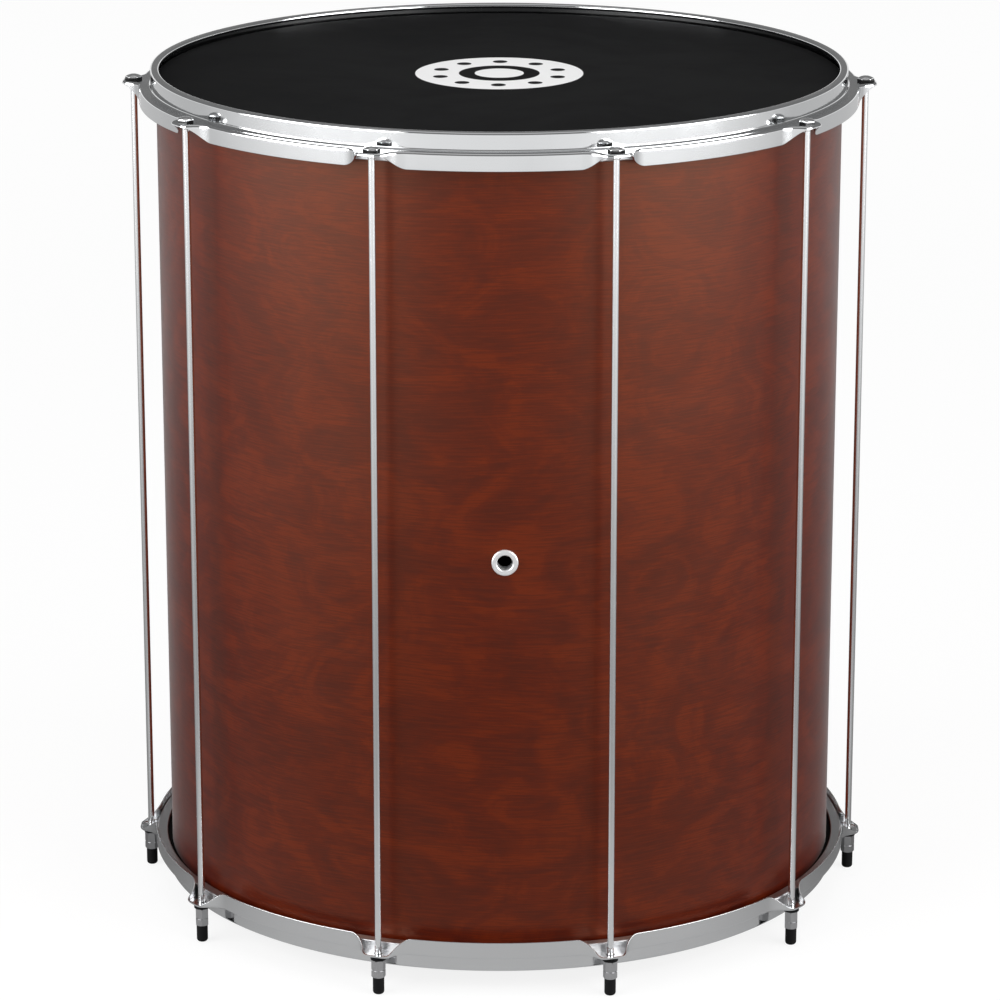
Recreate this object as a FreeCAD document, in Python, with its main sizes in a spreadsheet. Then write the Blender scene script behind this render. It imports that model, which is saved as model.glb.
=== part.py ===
# A surdo: a wooden shell with a head on each end, held between two steel hoops by long tension rods.
# Millimetres. The drum stands on the rubber caps of its rods, with +Z up and its front towards -Y.
import FreeCAD, Part
import math
import os
import Sketcher

# Driving dimensions, in millimetres and degrees: name, value, meaning.
SIZES = (
    ("shell_radius", "279.4", "outer radius of the wooden shell, a 22 inch drum"),
    ("shell_wall", "7.5", "thickness of the ply"),
    ("shell_length", "660.4", "length of the shell between its bearing edges, 26 inches"),
    ("bearing_slope", "4.5", "depth of the 45 degree slope inside each bearing edge"),
    ("bearing_round", "2.0", "rounding on the outside of each bearing edge"),
    ("vent_azimuth", "-88.3", "direction of the air vent about the drum's axis"),
    ("vent_bore", "6.0", "radius of the air hole through the eyelet"),
    ("vent_tube_wall", "1.0", "wall of the eyelet's tube"),
    ("vent_play", "0.1", "gap between the eyelet's tube and the shell's hole"),
    ("vent_flange_radius", "10.5", "outer radius of the eyelet's flange"),
    ("vent_flange_thick", "2.0", "height of the eyelet's flange over the shell"),
    ("vent_flange_round", "1.2", "rounding of the flange's rim"),
    ("vent_washer_radius", "9.0", "outer radius of the washer inside the shell"),
    ("vent_washer_thick", "1.0", "thickness of the washer inside the shell"),
    ("vent_flare", "1.2", "how far the eyelet's inner end is flared over its washer"),
    ("film_thick", "1.0", "thickness of the head"),
    ("film_gap", "0.3", "gap between the head's collar and the shell's side"),
    ("film_tuck", "2.5", "length of the head's hem inside its flesh ring"),
    ("hem_play", "0.3", "gap between the hem and the ring around it"),
    ("tuning_travel", "4.0", "how far the lower hoop rises as the drum is tuned up"),
    ("travel_play", "0.3", "room left over at the end of the travel"),
    ("hoop_steel", "1.2", "thickness of the pressed steel hoops"),
    ("hoop_clearance", "2.1", "gap between the head's collar and the hoop's collar"),
    ("rim_height", "8.6", "how far the hoop's rim stands beyond the head"),
    ("collar_height", "14.2", "height of the hoop's collar from its ledge to its rim"),
    ("collar_fillet", "1.5", "fillet where the collar meets the ledge"),
    ("bead_width", "7.4", "width of the bead rolled inwards at the rim"),
    ("bead_height", "4.2", "height of the bead rolled inwards at the rim"),
    ("bead_round", "2.0", "rounding of the bead"),
    ("bead_inner_fillet", "0.8", "fillet where the bead meets the collar's inside"),
    ("ledge_width", "9.2", "width of the hoop's ledge from collar to skirt"),
    ("fold_round", "2.0", "outer radius of the fold between ledge and skirt"),
    ("skirt_height", "13.8", "height of the hoop's skirt, ledge included"),
    ("skirt_edge_round", "0.4", "rounding of the skirt's free edge"),
    ("ear_half_base", "17.5", "half the width of an ear where it leaves the skirt"),
    ("ear_flare", "8.0", "how far beyond that the ear's root runs along the skirt"),
    ("ear_root_fillet", "12.0", "concave radius where an ear leaves the skirt"),
    ("ear_half_tip", "9.8", "half the width of an ear's tip"),
    ("ear_tip_round", "8.8", "corner radius of an ear's tip"),
    ("ear_tip_reach", "9.0", "distance from a rod's axis to the ear's tip"),
    ("ear_edge", "1.0", "width of the rounding along an ear's top edge"),
    ("ear_lip", "2.2", "height of an ear's side wall at its tip, plate included"),
    ("ear_slant_start", "1.5", "distance outside the skirt where an ear's side wall starts to slope"),
    ("ear_hole_radius", "3.5", "radius of the rod's hole in an ear"),
    ("ring_width", "8.5", "width of the aluminium flesh ring"),
    ("ring_height", "7.4", "height of the aluminium flesh ring"),
    ("ring_wall", "1.2", "wall of the flesh ring's channel"),
    ("ring_play", "0.2", "gap between the flesh ring and the hoop's skirt"),
    ("ring_round", "1.0", "rounding of the flesh ring's closed side"),
    ("rod_count", "10", "number of tension rods"),
    ("rod_reach", "5.45", "distance of a rod's axis outside the skirt"),
    ("rod_radius", "2.65", "radius of a rod's threaded shank"),
    ("rod_tip_chamfer", "0.8", "chamfer at the lower end of a rod"),
    ("neck_radius", "3.1", "radius of the plain neck under a rod's head"),
    ("neck_length", "3.9", "length of the plain neck under a rod's head"),
    ("rod_head_flats", "12.0", "width across the flats of a rod's head"),
    ("rod_head_height", "4.4", "height of a rod's head"),
    ("rod_head_dome", "2.2", "how far the domed top of a rod's head falls to its corners"),
    ("rod_head_crown", "2.6", "radius where the top of a rod's head starts to fall"),
    ("rod_head_round", "8.0", "radius of the bend between the head's crown and its slope"),
    ("cap_radius", "4.6", "radius of a rubber cap"),
    ("cap_height", "14.2", "height of a rubber cap"),
    ("cap_floor", "4.0", "rubber under the end of the rod"),
    ("cap_round", "2.6", "rounding of a rubber cap's lower end"),
    ("cap_mouth_round", "0.6", "rounding of a rubber cap's upper edge"),
    ("cap_play", "0.05", "gap between a rubber cap and its rod"),
    ("cap_gap", "0.3", "gap between a rubber cap and the nut above it"),
    ("nut_flats", "10.0", "width across the flats of a tuning nut"),
    ("nut_length", "14.7", "length of a tuning nut"),
    ("nut_bevel", "0.5", "height of the bevel on the corners of a tuning nut"),
    ("nut_groove_height", "6.0", "height of the groove round a tuning nut from its lower end"),
    ("nut_groove_half", "0.35", "half the width of the groove round a tuning nut"),
    ("nut_groove_depth", "0.3", "depth of the groove below the nut's flats"),
    ("thread_play", "0.1", "gap between a tuning nut and the rod's thread"),
    ("nut_gap", "0.2", "running gap between a tuning nut and its washer"),
    ("washer_radius", "6.3", "radius of the black washer under an ear"),
    ("washer_thick", "3.7", "thickness of the black washer under an ear"),
    ("washer_round", "0.4", "rounding of the black washer's edges"),
    ("washer_bore", "3.3", "radius of the black washer's bore"),
    ("overrun", "3.0", "how far a cut runs past what it cuts"),
)

doc = FreeCAD.newDocument("Surdo")
sheet = doc.addObject("Spreadsheet::Sheet", "Sizes")
for row, (alias, value, meaning) in enumerate(SIZES, start=1):
    sheet.set(f"A{row}", meaning)
    sheet.set(f"B{row}", value)
    sheet.setAlias(f"B{row}", alias)
doc.recompute()

# Radii worked out from the sheet, from the shell outwards.
SHELL_IN = "(Sizes.shell_radius - Sizes.shell_wall)"
FILM_IN = "(Sizes.shell_radius + Sizes.film_gap)"
FILM_OUT = f"({FILM_IN} + Sizes.film_thick)"
HOOP_IN = f"({FILM_OUT} + Sizes.hoop_clearance)"
HOOP_OUT = f"({HOOP_IN} + Sizes.hoop_steel)"
BEAD_IN = f"({HOOP_OUT} - Sizes.bead_width)"
SKIRT_OUT = f"({HOOP_OUT} + Sizes.ledge_width)"
SKIRT_IN = f"({SKIRT_OUT} - Sizes.hoop_steel)"
RING_OUT = f"({SKIRT_IN} - Sizes.ring_play)"
RING_IN = f"({RING_OUT} - Sizes.ring_width)"
ROD_CIRCLE = f"({SKIRT_OUT} + Sizes.rod_reach)"
EAR_TIP = f"({ROD_CIRCLE} + Sizes.ear_tip_reach)"
EYELET_TUBE = "(Sizes.vent_bore + Sizes.vent_tube_wall)"

# Heights, from the floor up through the stack under an ear and then through the drum.
NUT_BASE = "(Sizes.cap_height + Sizes.cap_gap)"
WASHER_BASE = f"({NUT_BASE} + Sizes.nut_length + Sizes.nut_gap)"
LOW_LEDGE = f"({WASHER_BASE} + Sizes.washer_thick)"
LOW_RIM = f"({LOW_LEDGE} - Sizes.collar_height)"
LOW_EDGE = f"({LOW_RIM} + Sizes.rim_height + Sizes.film_thick)"
HIGH_EDGE = f"({LOW_EDGE} + Sizes.shell_length)"
MIDDLE = f"({LOW_EDGE} + Sizes.shell_length / 2)"
FILM_TOP = f"({HIGH_EDGE} + Sizes.film_thick)"
RIM = f"({FILM_TOP} + Sizes.rim_height)"
LEDGE = f"({RIM} - Sizes.collar_height)"
LEDGE_UNDER = f"({LEDGE} - Sizes.hoop_steel)"
SKIRT_FREE = f"({LEDGE} - Sizes.skirt_height)"
RING_FREE = f"({LEDGE_UNDER} - Sizes.ring_height)"

# The head's hem hangs over the ring's inner wall, with room to rise by half the tuning travel.
HEM_TOP = f"({LEDGE_UNDER} - Sizes.tuning_travel / 2 - Sizes.travel_play)"
HEM_UNDER = f"({HEM_TOP} - Sizes.film_thick)"
RING_LOW_WALL = f"({HEM_UNDER} - Sizes.hem_play)"
HEM_END = f"({HEM_UNDER} - Sizes.film_tuck)"
HEM_IN = f"({RING_IN} + Sizes.ring_wall + Sizes.hem_play)"
HEM_OUT = f"({HEM_IN} + Sizes.film_thick)"

ROD_COUNT = int(sheet.get("rod_count"))
ROD_STEP = "(360 / Sizes.rod_count)"


def number(expression):
    """The value that an expression over the sheet has now."""
    value = sheet.evalExpression(str(expression))
    return float(getattr(value, "Value", value))


def origin_plane(body, role):
    """One of a body's own origin planes or axes."""
    return [item for item in body.Origin.OriginFeatures if item.Role == role][0]


def new_body(label, azimuth=None):
    """A body, turned about the drum's axis by an angle that an expression gives."""
    body = doc.addObject("PartDesign::Body", label)
    body.Label = label
    if azimuth is not None:
        body.Placement = FreeCAD.Placement(FreeCAD.Vector(), FreeCAD.Rotation(FreeCAD.Vector(0, 0, 1), 1))
        body.setExpression("Placement.Rotation.Angle", azimuth)
    return body


def new_sketch(body, name, plane, lift=None):
    """An empty sketch on an origin plane of its body, lifted along the plane's normal."""
    sketch = body.newObject("Sketcher::SketchObject", name)
    sketch.AttachmentSupport = [(origin_plane(body, plane), "")]
    sketch.MapMode = "FlatFace"
    if lift is not None:
        sketch.setExpression("AttachmentOffset.Base.z", lift)
    return sketch


def pin_point(sketch, rules, bindings, element, end, corner):
    """Adds the rules that hold a sketch point at a corner given by two expressions."""
    for kind, expression, axis in (("DistanceX", corner[0], -2), ("DistanceY", corner[1], -1)):
        value = number(expression)
        if value == 0:
            rules.append(Sketcher.Constraint("PointOnObject", element, end, axis))
        else:
            bindings[len(rules)] = expression
            rules.append(Sketcher.Constraint(kind, -1, 1, element, end, value))


def draw_loop(sketch, corners):
    """A closed outline through corners (x, y) or, where a corner is rounded, (x, y, radius)."""
    count = len(corners)
    points = [FreeCAD.Vector(number(c[0]), number(c[1]), 0) for c in corners]
    radii = [number(c[2]) if len(c) > 2 else 0 for c in corners]
    arrive = []
    leave = []
    centres = []
    for i, point in enumerate(points):
        back = (points[i - 1] - point).normalize()
        ahead = (points[(i + 1) % count] - point).normalize()
        half_angle = back.getAngle(ahead) / 2
        trim = radii[i] / math.tan(half_angle)
        arrive.append(point + back * trim)
        leave.append(point + ahead * trim)
        middle = back + ahead
        centres.append(point + middle.normalize() * (radii[i] / math.sin(half_angle)) if radii[i] else None)
    lines = []
    for i in range(count):
        lines.append(sketch.addGeometry(Part.LineSegment(leave[i], arrive[(i + 1) % count]), False))
    rules = []
    bindings = {}
    for i, corner in enumerate(corners):
        before = lines[i - 1]
        after = lines[i]
        if not radii[i]:
            rules.append(Sketcher.Constraint("Coincident", before, 2, after, 1))
            pin_point(sketch, rules, bindings, after, 1, corner)
            continue
        mark = sketch.addGeometry(Part.Point(points[i]), True)
        pin_point(sketch, rules, bindings, mark, 1, corner)
        rules.append(Sketcher.Constraint("PointOnObject", mark, 1, before))
        rules.append(Sketcher.Constraint("PointOnObject", mark, 1, after))
        start = arrive[i] - centres[i]
        end = leave[i] - centres[i]
        anticlockwise = start.cross(end).z > 0
        first, last = (start, end) if anticlockwise else (end, start)
        circle = Part.Circle(centres[i], FreeCAD.Vector(0, 0, 1), radii[i])
        arc = sketch.addGeometry(
            Part.ArcOfCircle(circle, math.atan2(first.y, first.x), math.atan2(last.y, last.x)), False)
        near, far = (1, 2) if anticlockwise else (2, 1)
        rules.append(Sketcher.Constraint("Tangent", before, 2, arc, near))
        rules.append(Sketcher.Constraint("Tangent", arc, far, after, 1))
        bindings[len(rules)] = corner[2]
        rules.append(Sketcher.Constraint("Radius", arc, radii[i]))
    add_rules(sketch, rules, bindings)


def draw_circle(sketch, radius, centre=("0", "0")):
    """A full circle of a given radius about a centre, both as expressions."""
    middle = FreeCAD.Vector(number(centre[0]), number(centre[1]), 0)
    circle = sketch.addGeometry(Part.Circle(middle, FreeCAD.Vector(0, 0, 1), number(radius)), False)
    rules = []
    bindings = {}
    pin_point(sketch, rules, bindings, circle, 3, centre)
    bindings[len(rules)] = radius
    rules.append(Sketcher.Constraint("Radius", circle, number(radius)))
    add_rules(sketch, rules, bindings)


def add_rules(sketch, rules, bindings):
    """Adds constraints to a sketch and binds the dimensions among them to their expressions."""
    first = sketch.ConstraintCount
    sketch.addConstraint(rules)
    for index, expression in bindings.items():
        sketch.setExpression(f"Constraints[{first + index}]", expression)


def turned(body, name, loops, kind="Revolution", plane="XZ_Plane", axis="V_Axis"):
    """A solid, or with kind Groove a cut, turned from closed outlines about a sketch axis."""
    sketch = new_sketch(body, name + "_outline", plane)
    for loop in loops:
        draw_loop(sketch, loop)
    feature = body.newObject("PartDesign::" + kind, name)
    feature.Profile = sketch
    feature.ReferenceAxis = (sketch, [axis])
    feature.Angle = 360
    sketch.Visibility = False
    return feature


def padded(body, name, loop, base, height, taper=None):
    """A flat outline on the XY plane, raised to a base height and padded upwards."""
    sketch = new_sketch(body, name + "_outline", "XY_Plane", base)
    draw_loop(sketch, loop)
    feature = body.newObject("PartDesign::Pad", name)
    feature.Profile = sketch
    feature.setExpression("Length", height)
    if taper is not None:
        feature.TaperAngle = taper
    sketch.Visibility = False
    return feature


def pocketed(body, name, sketch, length, symmetric=False, upwards=False):
    """A cut from a sketch, along or against the sketch's normal or to both sides."""
    feature = body.newObject("PartDesign::Pocket", name)
    feature.Profile = sketch
    feature.SideType = "Symmetric" if symmetric else "One side"
    feature.setExpression("Length", length)
    feature.Reversed = upwards
    sketch.Visibility = False
    return feature


def patterned(body, name, features):
    """Features repeated at every rod."""
    pattern = body.newObject("PartDesign::PolarPattern", name)
    pattern.Originals = features
    pattern.Axis = (origin_plane(body, "Z_Axis"), [""])
    pattern.Angle = 360
    pattern.setExpression("Occurrences", "Sizes.rod_count")
    body.Tip = pattern
    return pattern


def hexagon(flats):
    """The corners of a hexagon about a rod's axis, from its width across the flats."""
    corners = []
    for i in range(6):
        turn = f"({60 * i} deg)"
        corners.append((f"{ROD_CIRCLE} + {flats} / sqrt(3) * cos{turn}", f"{flats} / sqrt(3) * sin{turn}"))
    return corners


def make_shell():
    """The wooden shell, with a bearing edge at each end and the hole for the air vent."""
    body = new_body("shell", "Sizes.vent_azimuth")
    turned(body, "shell_ply", [[
        (SHELL_IN, f"{LOW_EDGE} + Sizes.bearing_slope"),
        (f"{SHELL_IN} + Sizes.bearing_slope", LOW_EDGE),
        ("Sizes.shell_radius", LOW_EDGE, "Sizes.bearing_round"),
        ("Sizes.shell_radius", HIGH_EDGE, "Sizes.bearing_round"),
        (f"{SHELL_IN} + Sizes.bearing_slope", HIGH_EDGE),
        (SHELL_IN, f"{HIGH_EDGE} - Sizes.bearing_slope"),
    ]])
    hole = new_sketch(body, "vent_hole_outline", "YZ_Plane")
    draw_circle(hole, f"{EYELET_TUBE} + Sizes.vent_play", ("0", MIDDLE))
    pocketed(body, "vent_hole", hole, "Sizes.shell_radius + Sizes.overrun", upwards=True)
    return body


def make_vent_parts():
    """The eyelet in the shell's hole and the washer that its inner end is flared over."""
    washer_out = f"sqrt({SHELL_IN}^2 - Sizes.vent_washer_radius^2)"
    washer_in = f"({washer_out} - Sizes.vent_washer_thick)"
    face = f"(Sizes.shell_radius + Sizes.vent_flange_thick)"
    flare_end = f"({washer_in} - Sizes.vent_tube_wall)"

    def about_vent(loop):
        """An outline given along the vent's axis and out from it, as sketch corners."""
        return [(corner[0], f"{MIDDLE} + {corner[1]}", *corner[2:]) for corner in loop]

    def turned_about_vent(body, name, loop):
        """A solid turned about the vent's own axis, a line across the shell at its middle height."""
        sketch = new_sketch(body, name + "_outline", "XZ_Plane")
        draw_loop(sketch, about_vent(loop))
        line = sketch.addGeometry(
            Part.LineSegment(FreeCAD.Vector(0, number(MIDDLE), 0),
                             FreeCAD.Vector(number("Sizes.shell_radius"), number(MIDDLE), 0)), True)
        rules = []
        bindings = {}
        pin_point(sketch, rules, bindings, line, 1, ("0", MIDDLE))
        pin_point(sketch, rules, bindings, line, 2, ("Sizes.shell_radius", MIDDLE))
        add_rules(sketch, rules, bindings)
        feature = body.newObject("PartDesign::Revolution", name)
        feature.Profile = sketch
        feature.ReferenceAxis = (sketch, ["Axis0"])
        feature.Angle = 360
        sketch.Visibility = False

    eyelet = new_body("vent_eyelet", "Sizes.vent_azimuth")
    turned_about_vent(eyelet, "eyelet_section", [
        (flare_end, "Sizes.vent_bore"),
        (face, "Sizes.vent_bore", "Sizes.vent_flange_round"),
        (face, "Sizes.vent_flange_radius", "Sizes.vent_flange_round"),
        ("Sizes.shell_radius", "Sizes.vent_flange_radius"),
        ("Sizes.shell_radius", EYELET_TUBE),
        (washer_in, EYELET_TUBE),
        (washer_in, f"{EYELET_TUBE} + Sizes.vent_flare"),
        (flare_end, f"{EYELET_TUBE} + Sizes.vent_flare"),
    ])
    washer = new_body("vent_washer", "Sizes.vent_azimuth")
    turned_about_vent(washer, "vent_washer_section", [
        (washer_in, f"{EYELET_TUBE} + Sizes.vent_play"),
        (washer_out, f"{EYELET_TUBE} + Sizes.vent_play"),
        (washer_out, "Sizes.vent_washer_radius"),
        (washer_in, "Sizes.vent_washer_radius"),
    ])
    return [eyelet, washer]


def make_top_head():
    """The top head: a flat skin, its collar down the shell's side and its hem in the flesh ring."""
    body = new_body("top_head")
    turned(body, "skin", [[
        ("0", HIGH_EDGE),
        (FILM_IN, HIGH_EDGE, "Sizes.bearing_round"),
        (FILM_IN, HEM_UNDER),
        (HEM_IN, HEM_UNDER),
        (HEM_IN, HEM_END),
        (HEM_OUT, HEM_END),
        (HEM_OUT, HEM_TOP),
        (FILM_OUT, HEM_TOP),
        (FILM_OUT, FILM_TOP, "Sizes.bearing_round + Sizes.film_thick"),
        ("0", FILM_TOP),
    ]])
    return body


def make_top_flesh_ring():
    """The aluminium channel round the top head's hem, open towards the hoop's ledge."""
    body = new_body("top_flesh_ring")
    turned(body, "channel", [[
        (RING_IN, RING_FREE, "Sizes.ring_round"),
        (RING_OUT, RING_FREE, "Sizes.ring_round"),
        (RING_OUT, LEDGE_UNDER),
        (f"{RING_OUT} - Sizes.ring_wall", LEDGE_UNDER),
        (f"{RING_OUT} - Sizes.ring_wall", f"{RING_FREE} + Sizes.ring_wall"),
        (f"{RING_IN} + Sizes.ring_wall", f"{RING_FREE} + Sizes.ring_wall"),
        (f"{RING_IN} + Sizes.ring_wall", RING_LOW_WALL),
        (RING_IN, RING_LOW_WALL),
    ]])
    return body


def ear_outline(inset, inner):
    """An ear from above: wide where it leaves the skirt, round at its tip. Inset is its wall."""
    skirt = f"({SKIRT_OUT} - {inset})"
    half_root = f"(Sizes.ear_half_base + Sizes.ear_flare - {inset})"
    half_base = f"(Sizes.ear_half_base - {inset})"
    half_tip = f"(Sizes.ear_half_tip - {inset})"
    root_x = f"sqrt({skirt}^2 - {half_root}^2)"
    base_x = f"sqrt({skirt}^2 - {half_base}^2)"
    tip_x = f"({EAR_TIP} - {inset})"
    root_fillet = f"(Sizes.ear_root_fillet + {inset})"
    tip_round = f"(Sizes.ear_tip_round - {inset})"
    half = [(inner, half_root), (root_x, half_root), (base_x, half_base, root_fillet), (tip_x, half_tip, tip_round)]
    other_half = [(corner[0], f"-{corner[1]}", *corner[2:]) for corner in half]
    return other_half + half[::-1]


def make_top_hoop():
    """The top hoop: collar with a rolled bead, ledge, skirt, and an open ear for every rod."""
    body = new_body("top_hoop")
    turned(body, "hoop_section", [[
        (HOOP_OUT, RIM, "Sizes.bead_round"),
        (BEAD_IN, RIM, "Sizes.bead_round"),
        (BEAD_IN, f"{RIM} - Sizes.bead_height", "Sizes.bead_round"),
        (HOOP_IN, f"{RIM} - Sizes.bead_height", "Sizes.bead_inner_fillet"),
        (HOOP_IN, LEDGE_UNDER, "Sizes.collar_fillet"),
        (SKIRT_IN, LEDGE_UNDER),
        (SKIRT_IN, SKIRT_FREE, "Sizes.skirt_edge_round"),
        (SKIRT_OUT, SKIRT_FREE, "Sizes.skirt_edge_round"),
        (SKIRT_OUT, LEDGE, "Sizes.fold_round"),
        (HOOP_OUT, LEDGE, "Sizes.collar_fillet"),
    ]])
    inner = f"({SKIRT_IN} - Sizes.overrun)"
    block = padded(body, "ear_block", ear_outline("0", inner), SKIRT_FREE,
                   "Sizes.skirt_height - Sizes.ear_edge")
    crown = padded(body, "ear_crown", ear_outline("0", inner), f"{LEDGE} - Sizes.ear_edge",
                   "Sizes.ear_edge", taper=-45)
    patterned(body, "ears", [block, crown])

    turned(body, "skirt_inside", [[
        (HOOP_OUT, f"{SKIRT_FREE} - Sizes.overrun"),
        (SKIRT_IN, f"{SKIRT_FREE} - Sizes.overrun"),
        (SKIRT_IN, LEDGE_UNDER),
        (HOOP_OUT, LEDGE_UNDER),
    ]], kind="Groove")

    hollow = new_sketch(body, "ear_hollow_outline", "XY_Plane", f"{SKIRT_FREE} - Sizes.overrun")
    draw_loop(hollow, ear_outline("Sizes.hoop_steel", inner))
    hollow = pocketed(body, "ear_hollow", hollow,
                      "Sizes.skirt_height - Sizes.hoop_steel + Sizes.overrun", upwards=True)
    slope = new_sketch(body, "ear_slope_outline", "XZ_Plane")
    draw_loop(slope, [
        (f"{SKIRT_OUT} + Sizes.ear_slant_start", SKIRT_FREE),
        (EAR_TIP, f"{LEDGE} - Sizes.ear_lip"),
        (f"{EAR_TIP} + Sizes.overrun", f"{LEDGE} - Sizes.ear_lip"),
        (f"{EAR_TIP} + Sizes.overrun", f"{SKIRT_FREE} - Sizes.overrun"),
        (f"{SKIRT_OUT} + Sizes.ear_slant_start", f"{SKIRT_FREE} - Sizes.overrun"),
    ])
    slope = pocketed(body, "ear_slope", slope, "2 * (Sizes.ear_half_base + Sizes.overrun)", symmetric=True)
    hole = new_sketch(body, "rod_hole_outline", "XY_Plane", f"{LEDGE_UNDER} - Sizes.overrun")
    draw_circle(hole, "Sizes.ear_hole_radius", (ROD_CIRCLE, "0"))
    hole = pocketed(body, "rod_hole", hole, "Sizes.hoop_steel + 2 * Sizes.overrun", upwards=True)
    patterned(body, "ear_cuts", [hollow, slope, hole])
    return body


def flipped(label, source):
    """A bottom piece: the same piece as its twin at the top, turned over about the shell's middle."""
    twin = doc.addObject("Part::Mirroring", label)
    twin.Label = label
    twin.Source = source
    twin.Normal = FreeCAD.Vector(0, 0, 1)
    twin.setExpression("Base.z", MIDDLE)
    return twin


def make_rod(label, azimuth):
    """A tension rod: threaded shank, plain neck and a domed hexagonal head that rests on the top ear."""
    body = new_body(label, azimuth)
    near = "Sizes.rod_radius"
    turned_on_rod(body, "shank", [[
        ("0", "Sizes.cap_floor"),
        (f"{near} - Sizes.rod_tip_chamfer", "Sizes.cap_floor"),
        (near, "Sizes.cap_floor + Sizes.rod_tip_chamfer"),
        (near, f"{LEDGE} - Sizes.neck_length"),
        ("Sizes.neck_radius", f"{LEDGE} - Sizes.neck_length"),
        ("Sizes.neck_radius", LEDGE),
        ("0", LEDGE),
    ]])
    padded(body, "head", hexagon("Sizes.rod_head_flats"), LEDGE, "Sizes.rod_head_height")
    head_top = f"({LEDGE} + Sizes.rod_head_height)"
    head_corner = "(Sizes.rod_head_flats / sqrt(3))"
    turned_on_rod(body, "head_dome", [[
        ("0", head_top),
        ("Sizes.rod_head_crown", head_top, "Sizes.rod_head_round"),
        (head_corner, f"{head_top} - Sizes.rod_head_dome"),
        (f"{head_corner} + Sizes.overrun", f"{head_top} - Sizes.rod_head_dome"),
        (f"{head_corner} + Sizes.overrun", f"{head_top} + Sizes.overrun"),
        ("0", f"{head_top} + Sizes.overrun"),
    ]], kind="Groove")
    return body


def turned_on_rod(body, name, loops, kind="Revolution"):
    """A solid or cut turned about a rod's own axis, from outlines given out from that axis."""
    sketch = new_sketch(body, name + "_outline", "XZ_Plane")
    sketch.setExpression("AttachmentOffset.Base.x", ROD_CIRCLE)
    for loop in loops:
        draw_loop(sketch, loop)
    feature = body.newObject("PartDesign::" + kind, name)
    feature.Profile = sketch
    feature.ReferenceAxis = (sketch, ["V_Axis"])
    feature.Angle = 360
    sketch.Visibility = False
    return feature


def corner_bevel(flats, bevel, end, way):
    """The triangle that cuts the corners of a hexagon at one end: way is 1 at its top, -1 below."""
    corner = f"({flats} / sqrt(3))"
    outside = f"({corner} + Sizes.overrun)"
    sign = "+" if way > 0 else "-"
    inwards = "-" if way > 0 else "+"
    slope = f"({bevel} / ({corner} - {flats} / 2))"
    return [
        (f"{flats} / 2", end),
        (outside, f"{end} {inwards} {slope} * ({outside} - {flats} / 2)"),
        (outside, f"{end} {sign} Sizes.overrun"),
        (f"{flats} / 2", f"{end} {sign} Sizes.overrun"),
    ]


def make_nut(label, azimuth):
    """A long hexagonal tuning nut, with bevelled corners and a groove round it."""
    body = new_body(label, azimuth)
    padded(body, "prism", hexagon("Sizes.nut_flats"), NUT_BASE, "Sizes.nut_length")
    top = f"({NUT_BASE} + Sizes.nut_length)"
    bore = "Sizes.rod_radius + Sizes.thread_play"
    outside = "(Sizes.nut_flats / sqrt(3) + Sizes.overrun)"
    floor = "(Sizes.nut_flats / 2 - Sizes.nut_groove_depth)"
    groove = f"({NUT_BASE} + Sizes.nut_groove_height)"
    turned_on_rod(body, "nut_cuts", [
        [("0", f"{NUT_BASE} - Sizes.overrun"), (bore, f"{NUT_BASE} - Sizes.overrun"),
         (bore, f"{top} + Sizes.overrun"), ("0", f"{top} + Sizes.overrun")],
        corner_bevel("Sizes.nut_flats", "Sizes.nut_bevel", top, 1),
        corner_bevel("Sizes.nut_flats", "Sizes.nut_bevel", NUT_BASE, -1),
        [(floor, f"{groove} - Sizes.nut_groove_half"), (outside, f"{groove} - Sizes.nut_groove_half"),
         (outside, f"{groove} + Sizes.nut_groove_half"), (floor, f"{groove} + Sizes.nut_groove_half")],
    ], kind="Groove")
    return body


def make_nut_washer(label, azimuth):
    """The thick black washer between an ear of the lower hoop and its tuning nut."""
    body = new_body(label, azimuth)
    turned_on_rod(body, "washer", [[
        ("Sizes.washer_bore", WASHER_BASE),
        ("Sizes.washer_radius", WASHER_BASE, "Sizes.washer_round"),
        ("Sizes.washer_radius", LOW_LEDGE, "Sizes.washer_round"),
        ("Sizes.washer_bore", LOW_LEDGE),
    ]])
    return body


def make_cap(label, azimuth):
    """The rubber cap on a rod's lower end, a foot of the drum."""
    body = new_body(label, azimuth)
    bore = "Sizes.rod_radius + Sizes.cap_play"
    turned_on_rod(body, "rubber", [[
        ("0", "0"),
        ("Sizes.cap_radius", "0", "Sizes.cap_round"),
        ("Sizes.cap_radius", "Sizes.cap_height", "Sizes.cap_mouth_round"),
        (bore, "Sizes.cap_height"),
        (bore, "Sizes.cap_floor"),
        ("0", "Sizes.cap_floor"),
    ]])
    return body


def make_parts():
    """Every piece of the drum, in the order of its names."""
    pieces = [make_shell(), *make_vent_parts()]
    top_pieces = [make_top_head(), make_top_flesh_ring(), make_top_hoop()]
    for piece in top_pieces:
        pieces += [piece, flipped(piece.Label.replace("top", "bottom"), piece)]
    makers = (("tension_rod", make_rod), ("tuning_nut", make_nut),
              ("nut_washer", make_nut_washer), ("rubber_cap", make_cap))
    for name, maker in makers:
        for i in range(ROD_COUNT):
            pieces.append(maker(f"{name}_{i + 1:02d}", f"{ROD_STEP} * {i}"))
    return pieces


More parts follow.
